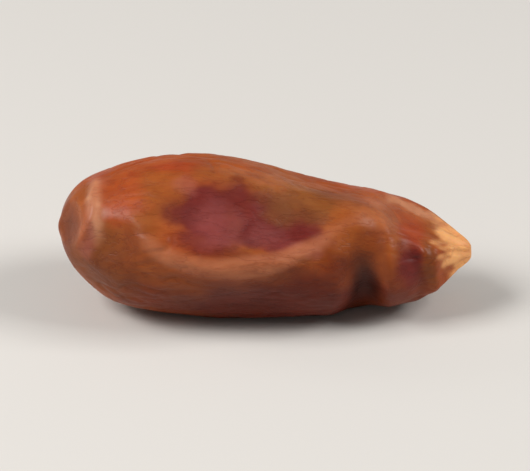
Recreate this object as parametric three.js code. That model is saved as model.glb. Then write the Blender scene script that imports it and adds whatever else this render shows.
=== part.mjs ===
import * as THREE from "three";
import { mergeVertices } from "three/addons/utils/BufferGeometryUtils.js";

// One cured Berni date lying on its side: plump and blunt at the blossom end (-X), thinner at the stem end
// (+X), with hollows and flats where it was pressed, and loose skin folded round the stem end.
// Millimetres, +Z up. x runs along the fruit from its middle. turn is the angle round it, in degrees, from
// the top (+Z) towards the front (-Y).
const { degToRad, smoothstep } = THREE.MathUtils;

// The plump body
const LENGTH = 44; // from tip to tip
const THICKNESS = 17.4; // of the plump half, before it is pressed
const WIDER_THAN_THICK = 1.05;
const STEM_COLLAR = 0.35; // how far the puckered ring stands out of the stem end
const HALF_LENGTH = (LENGTH - STEM_COLLAR) / 2;
const BLOSSOM_FULLNESS = 3.8; // power of the outline: 2 is an ellipse, and more is blunter
const STEM_FULLNESS = 3.7;
const STEM_THINNING = 0.24; // share of the thickness that the stem half loses
const THINNING_FROM = -7;
const THINNING_TO = 14;
const STEM_DROOP = 1.7; // how far the stem half sinks
const STEM_FORWARD = 0.6; // and how far it comes to the front
const DROOP_FROM = -12;
const DROOP_TO = 12;
const TIP_DROOP = 0.2; // how much further the stem's tip sinks
const TIP_FROM = 14;
const BLOSSOM_LIFT = 0.9; // how far the other end turns up
const BLOSSOM_FROM = -16;
const LUMPS = [
  // a little out of round: waves round the fruit, each turning as it goes along
  { waves: 2, height: 0.1, start: 30, perMillimetre: 4 },
  { waves: 3, height: 0.12, start: 75, perMillimetre: -5 },
];

// Hollows and flats, as if a ball were pressed into the skin. edge is how softly its rim is rounded.
const PRESSES = [
  { what: "upper half of the broad hollow", x: -6, turn: 40, ball: 24, depth: 1, edge: 0.9 },
  { what: "middle of the broad hollow", x: -2.6, turn: 40, ball: 34, depth: 1, edge: 0.6 },
  { what: "lower half of the broad hollow", x: 1.8, turn: 44, ball: 19, depth: 1.15, edge: 0.8 },
  { what: "dent beside the blossom end", x: -16, turn: 68, ball: 9, depth: 0.7, edge: 0.6 },
  { what: "flat of the blossom end", x: -21, turn: 50, ball: 30, depth: 0.7, edge: 0.2 },
  { what: "flat under the blossom end", x: -18, turn: 125, ball: 40, depth: 0.5, edge: 0.5 },
  { what: "flat under the roll", x: -3, turn: 120, ball: 60, depth: 0.55, edge: 0.4 },
  { what: "saddle behind the stem end", x: 7, turn: -12, ball: 20, depth: 0.7, edge: 0.6 },
  { what: "slant of the stem end", x: 18, turn: 0, ball: 60, depth: 2.2, edge: 1 },
  { what: "slant under the stem end", x: 20.2, turn: 155, ball: 40, depth: 1, edge: 0.5 },
  { what: "slant behind the stem end", x: 20, turn: -85, ball: 40, depth: 0.9, edge: 0.5 },
  { what: "slant before the stem end", x: 20.3, turn: 85, ball: 40, depth: 0.7, edge: 0.5 },
  { what: "hollow of the back", x: 2.5, turn: -100, ball: 22, depth: 1.1, edge: 0.4 },
  { what: "flat of the back", x: -11.5, turn: -55, ball: 45, depth: 0.6, edge: 0.5 },
];

// Rolls and folds of the skin, along a smooth line through points [x, turn, height]. A fold's height is
// negative.
const CREASES = [
  {
    what: "roll round the broad hollow",
    line: [
      [-15.5, 36, 0], [-14.2, 50, 0.25], [-12.4, 65, 0.5], [-9.8, 76, 0.6], [-5.3, 81, 0.7], [0.5, 74, 0.75],
      [3.9, 62, 0.6], [7.3, 45, 0.45], [10.8, 22, 0.35], [14, 2, 0.2], [16.5, -14, 0],
    ],
    width: 1.6,
  },
  {
    what: "crest of the blossom end",
    line: [[-17.9, -15, 0], [-18.1, 15, 0.4], [-18.3, 42, 0.5], [-19.4, 64, 0.4], [-20.4, 90, 0]],
    width: 0.8,
  },
  {
    what: "brow over the broad hollow",
    line: [[-12, 30, 0], [-7, 16, 0.15], [-1, 20, 0.15], [5, 30, 0]],
    width: 1.2,
  },
  {
    what: "edge of the broad half beside the deep fold",
    line: [[7, 50, 0], [7.2, 80, 0.25], [7.8, 110, 0.3], [7.2, 140, 0.2], [6.5, 165, 0]],
    width: 1.3,
  },
  {
    what: "deep fold under the stem half",
    line: [
      [9.9, 38, 0], [10.2, 60, -0.8], [10.5, 88, -1.7], [10.7, 115, -2], [10.3, 145, -1.1], [9.5, 172, 0],
    ],
    width: 1.9,
  },
  {
    what: "roll between the folds",
    line: [[12.9, 5, 0.1], [13.2, 45, 0.35], [13.4, 90, 0.45], [13.2, 130, 0.3], [12.8, 160, 0]],
    width: 1,
  },
  {
    what: "shallow fold at the stem end",
    line: [[14.6, 34, 0], [15.5, 62, -0.5], [16.6, 92, -0.7], [16.6, 125, -0.6], [15.6, 150, 0]],
    width: 1.1,
  },
  {
    what: "ring of skin before the scar",
    line: [[18.4, 20, 0.15], [18.6, 70, 0.3], [18.4, 130, 0.2], [18.2, 170, 0]],
    width: 0.8,
  },
  {
    what: "long fold of the back",
    line: [[-13, -75, 0], [-4, -62, -0.55], [6, -66, -0.55], [13, -50, 0]],
    width: 1,
  },
  {
    what: "fold across the back",
    line: [[12, -55, 0], [13.2, -90, -1], [12.8, -120, -0.9], [12.4, -150, 0]],
    width: 1.1,
  },
];
const CREASE_STEPS = 60; // places tried along a line for the nearest one

// The stem end: a ring of puckered skin round the scar where the fruit hung
const COLLAR_RADIUS = 0.7;
const COLLAR_WIDTH = 1;
const SCAR_RADIUS = 0.5;
const SCAR_DEPTH = 0.3;
const PUCKERS = 9;
const PUCKER_HEIGHT = 0.18;
const PUCKER_REACH = 6; // how far from the scar they fade out

// The blossom end: the point that the flower left
const TIP_RADIUS = 0.9;
const TIP_HEIGHT = 0.18;

// What it lies on presses the underside flat
const FLAT_DEPTH = 0.75;
const FLAT_EDGE = 0.25;

// Facets
const AROUND = 52;
const ALONG = 74;
const CLOSER = 0.12; // rows stand closer together in the folded stem half

// How much of a height above a pressing surface is taken away: nothing well below it, all of it well above
// it, and rounded over in between.
function pressedBack(height, edge) {
  if (height <= -edge) return 0;
  if (height >= edge) return height;
  return (height + edge) ** 2 / (4 * edge);
}

// The round of the fruit at x, before it is pressed
function bodyRadius(x) {
  const fullness = x < 0 ? BLOSSOM_FULLNESS : STEM_FULLNESS;
  const rounding = Math.sqrt(Math.max(0, 1 - Math.abs(x / HALF_LENGTH) ** fullness));
  return (THICKNESS / 2) * (1 - STEM_THINNING * smoothstep(x, THINNING_FROM, THINNING_TO)) * rounding;
}

function outward(turn) {
  return new THREE.Vector3(0, -Math.sin(degToRad(turn)), Math.cos(degToRad(turn)));
}

function bodyPoint(x, turn) {
  const bend = smoothstep(x, DROOP_FROM, DROOP_TO);
  const lumps = LUMPS.reduce(
    (sum, { waves, height, start, perMillimetre }) =>
      sum + height * Math.cos(degToRad(waves * (turn - start) + perMillimetre * x)),
    0,
  );
  const radius = bodyRadius(x);
  const point = outward(turn).multiplyScalar(radius + lumps * Math.min(1, radius / 3));
  point.y = point.y * WIDER_THAN_THICK - STEM_FORWARD * bend;
  point.z -= STEM_DROOP * bend + TIP_DROOP * smoothstep(x, TIP_FROM, HALF_LENGTH);
  point.z += BLOSSOM_LIFT * smoothstep(-x, -BLOSSOM_FROM, HALF_LENGTH);
  return point.setX(x);
}

// Straight out of the body at x and turn
function bodyNormal(x, turn) {
  const [dx, dturn] = [0.05, 0.5];
  const along = bodyPoint(x + dx, turn).sub(bodyPoint(x - dx, turn));
  const round = bodyPoint(x, turn + dturn).sub(bodyPoint(x, turn - dturn));
  return along.cross(round).normalize().negate();
}

const balls = PRESSES.map(({ x, turn, ball, depth, edge }) => ({
  centre: bodyPoint(x, turn).addScaledVector(bodyNormal(x, turn), ball - depth),
  ball,
  edge,
}));

function press(point) {
  for (const { centre, ball, edge } of balls) {
    const away = point.clone().sub(centre);
    point.addScaledVector(away.clone().normalize(), pressedBack(ball - away.length(), edge));
  }
}

// Each crease as places on the unpressed body, so that distances are millimetres over the skin
const creases = CREASES.map(({ line, width }) => {
  const points = line.map((place) => new THREE.Vector3(...place));
  const curve = new THREE.CatmullRomCurve3(points, false, "catmullrom", 0.5);
  const places = curve.getPoints(CREASE_STEPS).map(({ x, y, z }) => ({ onBody: bodyPoint(x, y), height: z }));
  return { places, width };
});

function creaseHeight(onBody) {
  return creases.reduce((sum, { places, width }) => {
    const distances = places.map((place) => place.onBody.distanceTo(onBody));
    const nearest = Math.min(...distances);
    return sum + places[distances.indexOf(nearest)].height * Math.exp(-((nearest / width) ** 2));
  }, 0);
}

// The ends, at a place whose body has this radius round its middle line
function stemEnd(point, x, turn, radius) {
  if (x < 0) return;
  const collar = STEM_COLLAR * Math.exp(-(((radius - COLLAR_RADIUS) / COLLAR_WIDTH) ** 2));
  const scar = SCAR_DEPTH * (1 - smoothstep(radius, 0.3 * SCAR_RADIUS, 1.3 * SCAR_RADIUS));
  point.x += collar - scar;
  const reach = smoothstep(radius, 0.4, 2) * (1 - smoothstep(HALF_LENGTH - x, 0, PUCKER_REACH));
  const wave = Math.cos(degToRad(PUCKERS * turn + 40 * Math.sin(degToRad(2 * turn))));
  point.addScaledVector(outward(turn), PUCKER_HEIGHT * reach * wave);
}

function blossomEnd(point, x, radius) {
  if (x > 0) return;
  point.x -= TIP_HEIGHT * (1 - smoothstep(radius, 0.2 * TIP_RADIUS, 1.6 * TIP_RADIUS));
}

// A point of the fruit's skin. along runs from -1 at the blossom end to 1 at the stem end.
function skinPoint(along, turn) {
  const x = HALF_LENGTH * (along + CLOSER * (1 - along ** 2));
  const onBody = bodyPoint(x, turn);
  const point = onBody.clone();
  press(point);
  point.addScaledVector(outward(turn), creaseHeight(onBody));
  stemEnd(point, x, turn, bodyRadius(x));
  blossomEnd(point, x, bodyRadius(x));
  return point;
}

function fruitGeometry() {
  const sphere = new THREE.SphereGeometry(1, AROUND, ALONG).rotateZ(-Math.PI / 2);
  sphere.deleteAttribute("normal");
  sphere.deleteAttribute("uv");
  const geometry = mergeVertices(sphere, 1e-5);
  const position = geometry.getAttribute("position");
  const points = [];
  for (let i = 0; i < position.count; i++) {
    const turn = THREE.MathUtils.radToDeg(Math.atan2(-position.getY(i), position.getZ(i)));
    points.push(skinPoint(THREE.MathUtils.clamp(position.getX(i), -1, 1), turn));
  }
  const floor = Math.min(...points.map((p) => p.z)) + FLAT_DEPTH;
  points.forEach((p) => (p.z += pressedBack(floor - p.z, FLAT_EDGE)));
  geometry.setFromPoints(points);
  geometry.computeBoundingBox();
  const { min, max } = geometry.boundingBox;
  geometry.translate(-(min.x + max.x) / 2, -(min.y + max.y) / 2, -min.z);
  geometry.computeVertexNormals();
  return geometry;
}

const skin = new THREE.MeshStandardMaterial({ color: "#9c5430", roughness: 0.35, metalness: 0 });
const fruit = new THREE.Mesh(fruitGeometry(), skin);
fruit.name = "date_fruit";

const date = new THREE.Group();
date.add(fruit);
export default date;
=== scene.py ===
# %% [markdown]
# # One cured date
#
# A date of this kind is picked ripe and dried until its flesh is soft and its skin is loose. The skin then
# does two things. Where the flesh shrank under it, it sinks, clings and turns the colour of wine. Everywhere
# else it stands off as a thin amber film, in rolls and folds. Nearly all of the look comes from those two, so
# this lesson first shapes the skin and remembers where it sank, and then lets the tones use what the shape
# remembered.

# %% The frame
import math

import bmesh
import bpy
from mathutils import Matrix, Vector, kdtree, noise


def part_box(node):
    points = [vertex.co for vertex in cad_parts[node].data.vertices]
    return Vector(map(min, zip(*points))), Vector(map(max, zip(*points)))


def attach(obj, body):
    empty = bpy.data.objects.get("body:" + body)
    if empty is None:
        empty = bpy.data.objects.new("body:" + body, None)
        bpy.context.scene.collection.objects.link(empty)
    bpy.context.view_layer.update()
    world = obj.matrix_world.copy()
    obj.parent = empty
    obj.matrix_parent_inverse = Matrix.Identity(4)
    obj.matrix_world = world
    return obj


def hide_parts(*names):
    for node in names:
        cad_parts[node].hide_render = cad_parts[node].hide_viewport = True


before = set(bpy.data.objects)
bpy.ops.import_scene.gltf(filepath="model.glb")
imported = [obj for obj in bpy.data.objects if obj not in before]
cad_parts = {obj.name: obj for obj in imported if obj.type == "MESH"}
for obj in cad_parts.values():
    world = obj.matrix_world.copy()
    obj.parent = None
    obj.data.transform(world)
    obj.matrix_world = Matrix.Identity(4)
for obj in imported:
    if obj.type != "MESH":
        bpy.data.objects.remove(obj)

MM = 0.001  # a millimetre in Blender's metres
NOISE_SEED = 2
noise.seed_set(NOISE_SEED)  # unseeded, noise_vector gives other numbers in each run
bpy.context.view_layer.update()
cad_low, cad_high = (Vector(corner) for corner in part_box("date_fruit"))
print("the fruit's box in mm:", [round(side / MM, 1) for side in cad_high - cad_low])

# %% [markdown]
# ## The body
#
# Before anything presses it, the fruit is a plump round body: blunt at the blossom end (-X), thinner and
# sinking a little towards the stem end (+X). It could be sculpted by hand, but a formula is easier to
# correct, because each number can be read off a picture of the fruit. A place on the skin has two numbers: x
# along the fruit from its middle, and turn, the angle round it in degrees from the top (+Z) towards the front
# (-Y). All of the shaping is done in millimetres.

# %% The body's formula
LENGTH, THICKNESS, WIDER_THAN_THICK = 44, 17.4, 1.05
STEM_COLLAR = 0.35
HALF_LENGTH = (LENGTH - STEM_COLLAR) / 2
BLOSSOM_FULLNESS, STEM_FULLNESS = 3.8, 3.7  # powers of the outline: 2 is an ellipse, and more is blunter
STEM_THINNING, THINNING_FROM, THINNING_TO = 0.24, -7, 14
STEM_DROOP, STEM_FORWARD, DROOP_FROM, DROOP_TO = 1.7, 0.6, -12, 12
TIP_DROOP, TIP_FROM = 0.2, 14
BLOSSOM_LIFT, BLOSSOM_FROM = 0.9, -16
LUMPS = [(2, 0.1, 30, 4), (3, 0.12, 75, -5)]  # waves round, height, where they start, how they turn along
LUMPY_RADIUS = 3  # where the body is slimmer than this, the lumps are lower


def rise(value, start, end):
    """From 0 at start to 1 at end, easing in and out."""
    share = min(max((value - start) / (end - start), 0), 1)
    return share * share * (3 - 2 * share)


def outward(turn):
    return Vector((0, -math.sin(math.radians(turn)), math.cos(math.radians(turn))))


def body_radius(x):
    fullness = BLOSSOM_FULLNESS if x < 0 else STEM_FULLNESS
    rounding = math.sqrt(max(0, 1 - abs(x / HALF_LENGTH) ** fullness))
    return THICKNESS / 2 * (1 - STEM_THINNING * rise(x, THINNING_FROM, THINNING_TO)) * rounding


def body_point(x, turn):
    bend = rise(x, DROOP_FROM, DROOP_TO)
    radius = body_radius(x)
    lumps = sum(height * math.cos(math.radians(waves * (turn - start) + along * x))
                for waves, height, start, along in LUMPS)
    point = outward(turn) * (radius + lumps * min(1, radius / LUMPY_RADIUS))
    point.x = x
    point.y = point.y * WIDER_THAN_THICK - STEM_FORWARD * bend
    point.z -= STEM_DROOP * bend + TIP_DROOP * rise(x, TIP_FROM, HALF_LENGTH)
    point.z += BLOSSOM_LIFT * rise(-x, -BLOSSOM_FROM, HALF_LENGTH)
    return point


print("radius at the middle:", round(body_radius(0), 2), "mm, 15 mm to either side:",
      [round(body_radius(x), 2) for x in (-15, 15)])

# %% [markdown]
# ## Hollows and flats
#
# A soft fruit is easily pressed, and drying draws its flesh in. Either way the skin ends up as if a ball had
# been pushed into it: a large ball leaves a flat, and a small one leaves a dent. So that is what the formula
# does. A point that would be inside a ball is pushed to its surface, and the rim is rounded over. The broad
# hollow of the near side is longer than it is wide, so three balls share it. How deep the skin was pushed is
# kept, because the colour needs it later.

# %% Balls to press with
PRESSES = [  # what, x, turn, ball, depth, softness of the rim
    ("upper half of the broad hollow", -6, 40, 24, 1, 0.9),
    ("middle of the broad hollow", -2.6, 40, 34, 1, 0.6),
    ("lower half of the broad hollow", 1.8, 44, 19, 1.15, 0.8),
    ("dent beside the blossom end", -16, 68, 9, 0.7, 0.6),
    ("flat of the blossom end", -21, 50, 30, 0.7, 0.2),
    ("flat under the blossom end", -18, 125, 40, 0.5, 0.5),
    ("flat under the roll", -3, 120, 60, 0.55, 0.4),
    ("saddle behind the stem end", 7, -12, 20, 0.7, 0.6),
    ("slant of the stem end", 18, 0, 60, 2.2, 1),
    ("slant under the stem end", 20.2, 155, 40, 1, 0.5),
    ("slant behind the stem end", 20, -85, 40, 0.9, 0.5),
    ("slant before the stem end", 20.3, 85, 40, 0.7, 0.5),
    ("hollow of the back", 2.5, -100, 22, 1.1, 0.4),
    ("flat of the back", -11.5, -55, 45, 0.6, 0.5),
]
STEP_ALONG, STEP_ROUND = 0.05, 0.5  # mm and degrees to the points that show which way the body faces


def body_normal(x, turn):
    along = body_point(x + STEP_ALONG, turn) - body_point(x - STEP_ALONG, turn)
    around = body_point(x, turn + STEP_ROUND) - body_point(x, turn - STEP_ROUND)
    return around.cross(along).normalized()


def pressed_back(height, edge):
    """How much of a height above a pressing surface goes away."""
    if height <= -edge:
        return 0
    return height if height >= edge else (height + edge) ** 2 / (4 * edge)


BALLS = [(body_point(x, turn) + body_normal(x, turn) * (ball - depth), ball, edge, "hollow" in what)
         for what, x, turn, ball, depth, edge in PRESSES]


def press(point):
    """Push the point out of every ball, and return it with the depth of the hollows there."""
    sunk = 0
    for centre, ball, edge, is_hollow in BALLS:
        away = point - centre
        push = pressed_back(ball - away.length, edge)
        if push:
            point = point + away.normalized() * push
            sunk += push if is_hollow else 0
    return point, sunk


print(len(BALLS), "balls, of which", sum(ball[-1] for ball in BALLS), "make hollows")

# %% [markdown]
# ## Rolls and folds
#
# Loose skin gathers. Each roll or fold is a line drawn over the body through places (x, turn, height), and
# the skin rises or sinks beside it in a bell shape. Curve objects and a Shrinkwrap could do this too, but a
# formula keeps the mesh even. A k-d tree finds the nearest point of a line quickly.

# %% Lines of the creases
CREASES = [  # what, width, line through (x, turn, height)
    ("roll round the broad hollow", 1.6,
     [(-15.5, 36, 0), (-14.2, 50, 0.25), (-12.4, 65, 0.5), (-9.8, 76, 0.6), (-5.3, 81, 0.7), (0.5, 74, 0.75),
      (3.9, 62, 0.6), (7.3, 45, 0.45), (10.8, 22, 0.35), (14, 2, 0.2), (16.5, -14, 0)]),
    ("crest of the blossom end", 0.8,
     [(-17.9, -15, 0), (-18.1, 15, 0.4), (-18.3, 42, 0.5), (-19.4, 64, 0.4), (-20.4, 90, 0)]),
    ("brow over the broad hollow", 1.2,
     [(-12, 30, 0), (-7, 16, 0.15), (-1, 20, 0.15), (5, 30, 0)]),
    ("edge of the broad half beside the deep fold", 1.3,
     [(7, 50, 0), (7.2, 80, 0.25), (7.8, 110, 0.3), (7.2, 140, 0.2), (6.5, 165, 0)]),
    ("deep fold under the stem half", 1.9,
     [(9.9, 38, 0), (10.2, 60, -0.8), (10.5, 88, -1.7), (10.7, 115, -2), (10.3, 145, -1.1), (9.5, 172, 0)]),
    ("roll between the folds", 1,
     [(12.9, 5, 0.1), (13.2, 45, 0.35), (13.4, 90, 0.45), (13.2, 130, 0.3), (12.8, 160, 0)]),
    ("shallow fold at the stem end", 1.1,
     [(14.6, 34, 0), (15.5, 62, -0.5), (16.6, 92, -0.7), (16.6, 125, -0.6), (15.6, 150, 0)]),
    ("ring of skin before the scar", 0.8,
     [(18.4, 20, 0.15), (18.6, 70, 0.3), (18.4, 130, 0.2), (18.2, 170, 0)]),
    ("long fold of the back", 1,
     [(-13, -75, 0), (-4, -62, -0.55), (6, -66, -0.55), (13, -50, 0)]),
    ("fold across the back", 1.1,
     [(12, -55, 0), (13.2, -90, -1), (12.8, -120, -0.9), (12.4, -150, 0)]),
]
LINE_STEPS = 400


def smooth_line(places, steps):
    """Points along a Catmull-Rom line through the places."""
    places = [Vector(place) for place in places]
    ends = [2 * places[0] - places[1], *places, 2 * places[-1] - places[-2]]
    points = []
    for step in range(steps + 1):
        t = step / steps * (len(places) - 1)
        i = min(int(t), len(places) - 2)
        t -= i
        p0, p1, p2, p3 = ends[i:i + 4]
        bend = 2 * p0 - 5 * p1 + 4 * p2 - p3 + t * (3 * (p1 - p2) + p3 - p0)
        points.append(p1 + 0.5 * t * (p2 - p0 + t * bend))
    return points


class Crease:
    def __init__(self, width, line):
        self.width = width
        self.heights = []
        self.tree = kdtree.KDTree(LINE_STEPS + 1)
        for i, (x, turn, height) in enumerate(smooth_line(line, LINE_STEPS)):
            self.tree.insert(body_point(x, turn), i)
            self.heights.append(height)
        self.tree.balance()

    def height(self, on_body):
        index, distance = self.tree.find(on_body)[1:]
        return self.heights[index] * math.exp(-((distance / self.width) ** 2))


creases = [Crease(width, line) for what, width, line in CREASES]
print(len(creases), "rolls and folds")

# %% [markdown]
# ## The two ends
#
# At the stem end the skin is drawn up in puckers round the small scar where the fruit hung. At the other end
# the flower left a low point. Both could be modelled as pieces of their own, but they grew out of the same
# skin, so they only move its points. What the fruit lies on presses a flat spot into it last of all.

# %% The ends' formulas
COLLAR_RADIUS, COLLAR_WIDTH = 0.7, 1
SCAR_RADIUS, SCAR_DEPTH = 0.5, 0.3
SCAR_FLOOR, SCAR_RIM = 0.3, 1.3  # shares of its radius where the scar's floor ends and where its rim is
PUCKERS, PUCKER_HEIGHT, PUCKER_REACH = 9, 0.18, 6
PUCKER_START, PUCKER_FULL = 0.4, 2  # body radii between which the puckers grow to their height
UNEVEN_BY, UNEVEN_WAVES = 40, 2  # degrees that their wave is shifted by at most, and how often round
TIP_RADIUS, TIP_HEIGHT = 0.9, 0.18
TIP_TOP, TIP_FOOT = 0.2, 1.6  # shares of its radius between which the tip falls away
FLAT_DEPTH, FLAT_EDGE = 0.75, 0.25


def pucker_wave(turn):
    uneven = UNEVEN_BY * math.sin(math.radians(UNEVEN_WAVES * turn))
    return math.cos(math.radians(PUCKERS * turn + uneven))


def shape_ends(point, x, turn):
    radius = body_radius(x)
    if x < 0:
        point.x -= TIP_HEIGHT * (1 - rise(radius, TIP_TOP * TIP_RADIUS, TIP_FOOT * TIP_RADIUS))
        return
    collar = STEM_COLLAR * math.exp(-(((radius - COLLAR_RADIUS) / COLLAR_WIDTH) ** 2))
    scar = SCAR_DEPTH * (1 - rise(radius, SCAR_FLOOR * SCAR_RADIUS, SCAR_RIM * SCAR_RADIUS))
    point.x += collar - scar
    reach = rise(radius, PUCKER_START, PUCKER_FULL) * (1 - rise(HALF_LENGTH - x, 0, PUCKER_REACH))
    point += outward(turn) * PUCKER_HEIGHT * reach * pucker_wave(turn)


print("the puckers stand up to", PUCKER_HEIGHT, "mm, the blossom tip", TIP_HEIGHT, "mm")

# %% [markdown]
# ## The fine skin
#
# Between the ends the film has a grain: shallow waves and fine wrinkles that run along the fruit. A bump in
# the material could fake them, but the outline would stay smooth. They are small and have no plan, so noise
# shapes them, stretched along X. A wrinkle is where a noise passes zero. A second noise bends it, and a
# third, much wider one leaves it out in some places.

# %% The grain's formula
WAVES = [(0.12, 0.12, 0.3), (0.05, 0.5, 0.8)]  # height, how often in a mm along the fruit, and round it
WRINKLES = [  # how often in a mm, stretch along the fruit, depth, where in the noise
    (0.45, 3, 0.12, 9),
    (0.8, 3.5, 0.07, 20),
    (1.3, 2.5, 0.04, 31),
]
WRINKLE_WIDTH = 0.22  # how far from zero the noise of a wrinkle may be
BENDS_PER_MM, BENT_BY = 0.25, 0.6
GROUPS_PER_MM, GROUP_START, GROUP_FULL = 0.13, -0.25, 0.3  # levels of the wide noise
CLINGS_BY, CLINGS_FROM, CLINGS_TO = 0.8, -0.1, 0.6  # share of a wrinkle that goes, between these depths
GRAIN_START, GRAIN_FULL = 0.5, 3  # body radii between which the grain comes in at the ends


def stretched(point, along, around):
    return Vector((point.x * along, point.y * around, point.z * around))


def skin_grain(on_body, sunk):
    """Waves and wrinkles of the loose film. Where the skin sank it clings, and is smoother."""
    height = sum(high * noise.noise(stretched(on_body, along, around)) for high, along, around in WAVES)
    loose = 1 - CLINGS_BY * rise(sunk, CLINGS_FROM, CLINGS_TO)
    for per_mm, stretch, depth, start in WRINKLES:
        place = stretched(on_body, 1 / stretch, 1) * per_mm + Vector((start, 0, 0))
        bent = place + noise.noise_vector(on_body * BENDS_PER_MM) * BENT_BY
        group = noise.noise(on_body * GROUPS_PER_MM + Vector((start, 4, 2)))
        wrinkle = 1 - rise(abs(noise.noise(bent)), 0, WRINKLE_WIDTH)
        height -= depth * rise(group, GROUP_START, GROUP_FULL) * loose * wrinkle
    return height


print(len(WAVES), "waves and", len(WRINKLES), "sizes of wrinkles, up to",
      max(depth for per_mm, stretch, depth, start in WRINKLES), "mm deep each")

# %% [markdown]
# ## One mesh
#
# The sphere that bmesh makes has its poles at Z, so it is turned to put them at the two ends of the fruit.
# Its vertices then go to their places on the skin. Rows of a sphere crowd at its poles, which suits the
# puckers, and a small shift brings more of them to the folded stem half.

# %% The skin
AROUND, ALONG, CLOSER = 240, 320, 0.12

bm = bmesh.new()
bmesh.ops.create_uvsphere(bm, u_segments=AROUND, v_segments=ALONG, radius=1,
                          matrix=Matrix.Rotation(math.radians(90), 4, "Y"))
places = []  # of each vertex: x, turn, point on the body, how deep it sank, height of the creases
for vert in bm.verts:
    along = min(max(vert.co.x, -1), 1)
    turn = math.degrees(math.atan2(-vert.co.y, vert.co.z))
    x = HALF_LENGTH * (along + CLOSER * (1 - along ** 2))
    on_body = body_point(x, turn)
    point, sunk = press(on_body)
    crease = sum(each.height(on_body) for each in creases)
    grain = skin_grain(on_body, sunk) * rise(body_radius(x), GRAIN_START, GRAIN_FULL)
    point = point + outward(turn) * (crease + grain)
    shape_ends(point, x, turn)
    vert.co = point
    places.append((x, turn, on_body, sunk, crease))

floor = min(vert.co.z for vert in bm.verts) + FLAT_DEPTH
for vert in bm.verts:
    vert.co.z += pressed_back(floor - vert.co.z, FLAT_EDGE)
low, high = (Vector([pick(vert.co[axis] for vert in bm.verts) for axis in range(3)]) for pick in (min, max))
foot = Vector(((low.x + high.x) / 2, (low.y + high.y) / 2, low.z))
cad_foot = Vector(((cad_low.x + cad_high.x) / 2, (cad_low.y + cad_high.y) / 2, cad_low.z))
for vert in bm.verts:
    vert.co = (vert.co - foot) * MM + cad_foot
bmesh.ops.recalc_face_normals(bm, faces=bm.faces)
print(len(bm.faces), "faces, sunk up to", round(max(place[3] for place in places), 2), "mm")

# %% [markdown]
# ## Where the tones lie
#
# Skin tones change from place to place, in soft patches with ragged edges. They could be mixed with noise
# alone, but then the stem end would not be gold. So the tones are laid on as a painter would: a ground of
# amber, wine where the skin sank, then patches, each with a place, a size and a tone. Some patches are
# painted
# light: pale patches on the crest of the blossom end, the hump, the lip and the upper edge of the stem half
# are painted highlights, and the brown low on the fruit and under it is painted shade. Noise shifts the place
# that is looked up, so that the edges wander, and a short patch wanders less than a long one. The crests of
# the rolls get a painted highlight where the light reaches them, and the bottoms of the folds get painted
# shade that is nearly black. The result is kept as a colour at each vertex.

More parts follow.
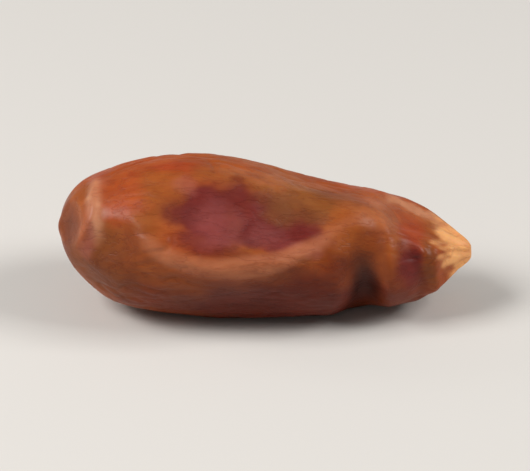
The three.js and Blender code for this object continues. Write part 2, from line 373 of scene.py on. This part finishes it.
# %% The palette
TONES = {  # linear red, green and blue
    "amber": (0.36, 0.088, 0.014),
    "orange": (0.40, 0.072, 0.014),
    "red": (0.40, 0.045, 0.012),
    "olive": (0.25, 0.082, 0.018),
    # brown is a skin tone, and also painted shade low on the fruit and under it
    "brown": (0.12, 0.011, 0.003),
    # painted shade at the bottoms of the folds
    "fold_shade": (0.06, 0.010, 0.004),
    "wine": (0.17, 0.018, 0.013),
    "mauve": (0.25, 0.050, 0.044),
    # rose and pink are skin tones, and also painted highlights on the crests, the lip and the upper edge
    "rose": (0.43, 0.14, 0.06),
    "pink": (0.40, 0.12, 0.085),
    # a painted highlight: the pale pink shine on the crest of the blossom end and along the upper edge
    "pale_highlight": (0.64, 0.30, 0.16),
    "gold": (0.84, 0.41, 0.15),
}
PATCHES = [  # tone, x, turn, half length along, half width round, strength
    # painted shade: brown below the roll and under the back, where the fruit faces down
    ("brown", 2, 126, 17, 6.8, 0.95),
    ("brown", 4, -150, 20, 6, 0.7),
    ("olive", -19.5, 40, 4, 5, 0.7),
    ("olive", -17, 100, 4, 4, 0.8),
    # painted shade low at the blossom end
    ("brown", -16, 104, 5, 4, 0.45),
    # painted highlight: a pale band down the crest of the blossom end
    ("pink", -17.6, 0, 1.1, 4, 0.6),
    ("pale_highlight", -17.8, 30, 1.1, 4, 1),
    ("pink", -19, 62, 1, 3, 0.7),
    ("amber", -19.7, 36, 1, 4, 0.85),
    ("brown", -21.2, 55, 1.2, 5, 0.55),
    ("brown", -13.3, 66, 1.8, 2.4, 0.25),
    ("red", -14.6, 42, 2.6, 1.2, 0.5),
    ("brown", 7.6, 68, 2.6, 2.4, 0.55),
    ("orange", -15, 25, 2.6, 3.5, 0.8),
    ("brown", -16, 68, 2.8, 2.8, 0.2),
    ("red", -8.8, 4, 3.4, 1.6, 0.9),
    ("orange", -12, -15, 8, 5, 0.6),
    ("olive", -11.5, 40, 2.5, 4, 0.25),
    ("olive", 4.4, 14, 5.5, 2.6, 0.8),
    ("brown", 7.9, 0, 3.4, 2, 0.3),
    ("olive", -4.5, 8, 4, 1.8, 0.5),
    ("rose", -0.6, 3, 5, 1.3, 0.45),
    ("amber", -9.9, 26, 1.7, 2.2, 0.8),
    ("pink", -8.3, 22, 1.4, 1.2, 0.4),
    # painted highlight on the hump before the stem end
    ("rose", 11.7, 27, 4, 3, 0.35),
    ("brown", 11, 55, 1.7, 2.2, 0.35),
    ("rose", 14, 26, 1.6, 2, 0.7),
    ("red", 16.4, 28, 1.8, 2.8, 0.6),
    ("wine", 15.6, 76, 1.6, 3.6, 1),
    ("olive", 17.9, 74, 0.9, 3.6, 0.7),
    ("brown", 17.9, 70, 0.9, 3, 0.3),
    # painted highlight: a pale shine along the upper edge of the stem half
    ("rose", 13.6, -4, 2.8, 2, 0.7),
    ("pale_highlight", 16.2, -24, 3.4, 1.1, 0.7),
    ("wine", -3.4, 28, 3, 2.2, 0.9),
    ("wine", -6, 61, 3, 1.8, 0.8),
    ("mauve", -5, 48, 3, 2.6, 0.9),
    ("wine", 2, 48, 3.8, 2.2, 0.9),
    ("mauve", 0.8, 54, 2, 1.2, 0.5),
    ("olive", 1.6, 31, 2.2, 1.6, 0.6),
    ("amber", 8, 42, 1.8, 2.6, 0.7),
    ("brown", -3.4, 70, 3.2, 1.1, 0.55),
    # painted highlight on the roll under the hollow
    ("pink", 3.6, 62, 2, 0.8, 0.6),
    ("wine", 2.5, -100, 7, 4, 0.7),
    ("red", -6, -80, 6, 4, 0.6),
    ("orange", 9, -40, 5, 4, 0.7),
]

# %% Laying the tones on
WANDERS = [(0.35, 1.6), (1.1, 0.5)]  # bends of an edge in a mm, and how far they go
FREE_LENGTH = 3  # the half length from which a patch wanders all the way
LEAST_RADIUS = 2  # turns are measured on this radius where the body is slimmer
PATCH_CORE, PATCH_END = 0.4, 1.4  # shares of its size between which a patch fades out
ORANGE_PER_MM, ORANGE_START, ORANGE_FULL, ORANGE_SHARE = 0.14, -0.1, 0.5, 0.6
WINE_START, WINE_FULL, WINE_RAGGED = 0.1, 0.8, 0.6  # depths, and how much noise makes them vary
CREST_HIGHLIGHT_START, CREST_HIGHLIGHT_FULL, CREST_HIGHLIGHT_SHARE = 0.28, 0.6, 0.9  # heights of a roll between which its crest gets a painted highlight, and its share
CREST_HIGHLIGHT_FADES, CREST_HIGHLIGHT_GONE = 84, 98  # turns past which the crests' painted highlight fades, where the light no longer reaches them
FOLD_SHADE_START, FOLD_SHADE_FULL, FOLD_SHADE_SHARE = 0.3, 1.7, 0.85  # depths of a fold between which its bottom gets painted shade, and its share
GOLD_START, GOLD_FULL = 18.2, 20.3  # places along the fruit
GOLD_BY_PUCKER, GOLD_BY_STREAK, STREAK_ALONG, STREAK_AROUND = 0.3, 1.2, 0.25, 1.2
GOLD_LATER, LATER_START, LATER_FULL = 1.1, 60, 95  # how much further along it starts past these turns


def patch_strength(x, turn, wander, at, at_turn, half_length, half_width, strength):
    share = min(1, half_length / FREE_LENGTH)
    round_by = math.radians((turn - at_turn + 180) % 360 - 180) * max(body_radius(x), LEAST_RADIUS)
    away = math.hypot((x + wander.x * share - at) / half_length, (round_by + wander.y * share) / half_width)
    return strength * (1 - rise(away, PATCH_CORE, PATCH_END))


def blend(colour, tone, share):
    return colour.lerp(Vector(TONES[tone]), min(max(share, 0), 1))


def skin_tone(x, turn, on_body, sunk, crease):
    wander = Vector()
    for per_mm, far in WANDERS:
        wander += noise.noise_vector(on_body * per_mm) * far
    orange = rise(noise.noise(on_body * ORANGE_PER_MM), ORANGE_START, ORANGE_FULL) * ORANGE_SHARE
    colour = blend(Vector(TONES["amber"]), "orange", orange)
    colour = blend(colour, "wine", rise(sunk * (1 + WINE_RAGGED * wander.z), WINE_START, WINE_FULL))
    for tone, *patch in PATCHES:
        colour = blend(colour, tone, patch_strength(x, turn, wander, *patch))
    # painted highlight: the crests of the rolls are paler, in rose, where the light reaches them
    lit = 1 - rise(turn, CREST_HIGHLIGHT_FADES, CREST_HIGHLIGHT_GONE)
    colour = blend(colour, "rose", rise(crease, CREST_HIGHLIGHT_START, CREST_HIGHLIGHT_FULL) * lit * CREST_HIGHLIGHT_SHARE)
    # painted shade: the bottoms of the folds go nearly black
    colour = blend(colour, "fold_shade", rise(-crease, FOLD_SHADE_START, FOLD_SHADE_FULL) * FOLD_SHADE_SHARE)
    streak = noise.noise(stretched(on_body, STREAK_ALONG, STREAK_AROUND))
    gold_x = x + GOLD_BY_PUCKER * pucker_wave(turn) + GOLD_BY_STREAK * streak
    gold_x -= GOLD_LATER * rise(turn, LATER_START, LATER_FULL)
    return blend(colour, "gold", rise(gold_x, GOLD_START, GOLD_FULL))


tones = [skin_tone(*place) for place in places]
print(len(PATCHES), "patches laid on", len(tones), "places")

# %% The fruit
mesh = bpy.data.meshes.new("date_skin_and_flesh")
bm.to_mesh(mesh)
bm.free()
tone_layer = mesh.color_attributes.new("tone", "FLOAT_COLOR", "POINT")
for datum, tone in zip(tone_layer.data, tones):
    datum.color = (*tone, 1)
for polygon in mesh.polygons:
    polygon.use_smooth = True
fruit = bpy.data.objects.new("date_skin_and_flesh", mesh)
bpy.context.collection.objects.link(fruit)
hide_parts("date_fruit")
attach(fruit, "root")

# %% [markdown]
# ## The skin's material
#
# Date skin is a waxy film over sticky, see-through flesh. So light goes in and comes back out warm, which is
# subsurface scattering, and the film on top gives a soft shine, which is a coat. The tones come from the
# vertices. Noise breaks them up finely, paints shade into the smallest wrinkles and varies the gloss, because
# real gloss is never even.

# %% Helpers for nodes
def add_node(tree, kind, **settings):
    """A node with its settings, which are its own properties or the values of its sockets."""
    node = tree.nodes.new(kind)
    for name, value in settings.items():
        if hasattr(node, name):
            setattr(node, name, value)
        else:
            node.inputs[name].default_value = value
    return node


def stretched_noise(tree, per_mm, stretch, detail=3, roughness=0.55):
    """Noise on Object coordinates: per_mm features to a millimetre, stretch times longer along the fruit."""
    place = add_node(tree, "ShaderNodeTexCoord")
    mapping = add_node(tree, "ShaderNodeMapping", Scale=(1 / stretch, 1, 1))
    texture = add_node(tree, "ShaderNodeTexNoise", Scale=per_mm / MM, Detail=detail, Roughness=roughness)
    tree.links.new(place.outputs["Object"], mapping.inputs["Vector"])
    tree.links.new(mapping.outputs["Vector"], texture.inputs["Vector"])
    return texture.outputs["Fac"]


def remap(tree, value, levels, results):
    """The low and high level of a value become the low and high result."""
    limits = {"From Min": levels[0], "From Max": levels[1], "To Min": results[0], "To Max": results[1]}
    node = add_node(tree, "ShaderNodeMapRange", **limits)
    tree.links.new(value, node.inputs["Value"])
    return node.outputs["Result"]


def thin_lines(tree, value, width):
    """1 on thin lines where a noise passes its middle, and 0 away from them."""
    middle = add_node(tree, "ShaderNodeMath", operation="SUBTRACT")
    middle.inputs[1].default_value = 0.5
    tree.links.new(value, middle.inputs[0])
    away = add_node(tree, "ShaderNodeMath", operation="ABSOLUTE")
    tree.links.new(middle.outputs[0], away.inputs[0])
    return remap(tree, away.outputs[0], (0, width), (1, 0))


def darken(tree, share, colour, tint):
    """The colour times the tint, as far as the share says. Share and colour are sockets."""
    node = add_node(tree, "ShaderNodeMix", data_type="RGBA", blend_type="MULTIPLY")
    tree.links.new(share, node.inputs[0])
    tree.links.new(colour, node.inputs[6])  # 6 and 7 are the two colours that a Mix node takes
    node.inputs[7].default_value = (*tint, 1)
    return node.outputs[2]


# %% The skin's material
COMMON_LEVELS = (0.35, 0.65)  # most values of a noise lie between these
# the wrinkle tint is painted shade in the finest wrinkles; the mottle and the flecks are the skin's own
MOTTLE_TINT, WRINKLE_SHADE_TINT, FLECK_TINT = (0.78, 0.70, 0.68), (0.6, 0.4, 0.38), (0.4, 0.3, 0.3)
LINE_WIDTH, WRINKLE_SHADE_SHARE, LINE_DEPTH = 0.03, 0.3, 0.5
FLECK_LEVELS, FLECK_SHARE = (0.66, 0.74), 0.3  # only the noise's rare peaks are flecks
GLOSS_ROUGHNESS = (0.38, 0.52)
BUMP_HEIGHT, BUMP_STRENGTH = 0.08 * MM, 0.6
SHADER_VALUES = {
    "Subsurface Weight": 0.25,
    "Subsurface Radius": (1.0, 0.35, 0.15),
    "Subsurface Scale": 1.6 * MM,
    "Specular IOR Level": 0.18,
    "Coat Weight": 0.07,
    "Coat Roughness": 0.28,
}

skin = bpy.data.materials.new("date_skin")
skin.use_nodes = True
tree = skin.node_tree
shader = tree.nodes["Principled BSDF"]
for name, value in SHADER_VALUES.items():
    shader.inputs[name].default_value = value

colour = add_node(tree, "ShaderNodeVertexColor", layer_name="tone").outputs["Color"]
mottle = remap(tree, stretched_noise(tree, per_mm=0.5, stretch=1.6, detail=5), COMMON_LEVELS, (0, 1))
colour = darken(tree, mottle, colour, MOTTLE_TINT)
line_noise = stretched_noise(tree, per_mm=0.55, stretch=3.5, detail=4, roughness=0.6)
lines = thin_lines(tree, line_noise, LINE_WIDTH)
# painted shade along the finest wrinkles, which the bump also sinks
colour = darken(tree, remap(tree, lines, (0, 1), (0, WRINKLE_SHADE_SHARE)), colour, WRINKLE_SHADE_TINT)
flecks = remap(tree, stretched_noise(tree, per_mm=2.6, stretch=1, detail=2), FLECK_LEVELS, (0, FLECK_SHARE))
colour = darken(tree, flecks, colour, FLECK_TINT)
tree.links.new(colour, shader.inputs["Base Color"])

gloss_noise = stretched_noise(tree, per_mm=0.35, stretch=2, detail=4)
tree.links.new(remap(tree, gloss_noise, COMMON_LEVELS, GLOSS_ROUGHNESS), shader.inputs["Roughness"])

height = add_node(tree, "ShaderNodeMath", operation="SUBTRACT")
tree.links.new(stretched_noise(tree, per_mm=1.6, stretch=3, detail=6), height.inputs[0])
tree.links.new(remap(tree, lines, (0, 1), (0, LINE_DEPTH)), height.inputs[1])
bump = add_node(tree, "ShaderNodeBump", Distance=BUMP_HEIGHT, Strength=BUMP_STRENGTH)
tree.links.new(height.outputs[0], bump.inputs["Height"])
tree.links.new(bump.outputs["Normal"], shader.inputs["Normal"])
mesh.materials.append(skin)
print("the skin's material has", len(tree.nodes), "nodes")

# %% [markdown]
# ## Floor, light and camera
#
# The fruit lies on a plain pale floor. Two wide soft lights stand high at its two sides, so both ends and
# every crest shine softly while the hollow stays deep in tone, and two weak low ones and a dim white
# surrounding keep the shade from going black. The camera looks down at 30 degrees from far away through a
# long lens, as pictures of food are often taken.

# %% Floor
FLOOR_SIZE, FLOOR_COLOUR, FLOOR_ROUGHNESS = 3, (0.64, 0.61, 0.57, 1), 0.8
bm = bmesh.new()
bmesh.ops.create_grid(bm, x_segments=1, y_segments=1, size=FLOOR_SIZE / 2,
                      matrix=Matrix.Translation((0, 0, cad_low.z)))
floor_mesh = bpy.data.meshes.new("floor")
bm.to_mesh(floor_mesh)
bm.free()
floor_piece = bpy.data.objects.new("floor", floor_mesh)
bpy.context.collection.objects.link(floor_piece)
pale = bpy.data.materials.new("pale_floor")
pale.use_nodes = True
pale_shader = pale.node_tree.nodes["Principled BSDF"]
pale_shader.inputs["Base Color"].default_value = FLOOR_COLOUR
pale_shader.inputs["Roughness"].default_value = FLOOR_ROUGHNESS
floor_mesh.materials.append(pale)
print("a floor of", FLOOR_SIZE, "m a side")

# %% Light
LIGHTS = [  # name, azimuth and elevation in degrees, distance and size in metres, watts
    ("key_left", -72, 46, 0.5, 0.24, 2.3),
    ("key_right", 80, 42, 0.5, 0.22, 1.6),
    ("low_left", -108, 22, 0.5, 0.12, 0.2),
    ("low_back", 165, 10, 0.6, 0.2, 0.06),
]
SURROUNDING = 0.18  # strength of the white world
target = Vector((0, 0, (cad_low.z + cad_high.z) / 2))


def way_to(azimuth, elevation):
    """The way from the fruit. Azimuth 0 is the camera's side, and grows to the right."""
    side, up = math.radians(azimuth), math.radians(elevation)
    return Vector((math.sin(side) * math.cos(up), -math.cos(side) * math.cos(up), math.sin(up)))


def place_facing(piece, way, distance):
    """Put a light or camera out along the way, so that it faces the fruit."""
    piece.location = target + way * distance
    piece.rotation_euler = way.to_track_quat("Z", "Y").to_euler()
    bpy.context.collection.objects.link(piece)


for name, azimuth, elevation, distance, size, watts in LIGHTS:
    lamp = bpy.data.lights.new(name, "AREA")
    lamp.size, lamp.energy = size, watts
    place_facing(bpy.data.objects.new(name, lamp), way_to(azimuth, elevation), distance)
world = bpy.data.worlds.new("studio")
world.use_nodes = True
world.node_tree.nodes["Background"].inputs["Color"].default_value = (1, 1, 1, 1)
world.node_tree.nodes["Background"].inputs["Strength"].default_value = SURROUNDING
bpy.context.scene.world = world
bpy.context.scene.view_settings.view_transform = "Standard"
print(len(LIGHTS), "soft lights")

# %% Camera
ELEVATION, CAMERA_DISTANCE, SENSOR = 30, 0.65, 36
FILLS = 0.78  # share of the picture's width that the fruit takes
NEAREST, FURTHEST = 0.01, 10  # metres that the camera sees between
camera = bpy.data.cameras.new("camera")
camera.sensor_width = SENSOR
camera.lens = SENSOR * CAMERA_DISTANCE * FILLS / (cad_high.x - cad_low.x)
camera.clip_start, camera.clip_end = NEAREST, FURTHEST
viewer = bpy.data.objects.new("camera", camera)
place_facing(viewer, way_to(0, ELEVATION), CAMERA_DISTANCE)
bpy.context.scene.camera = viewer
print("lens", round(camera.lens), "mm")
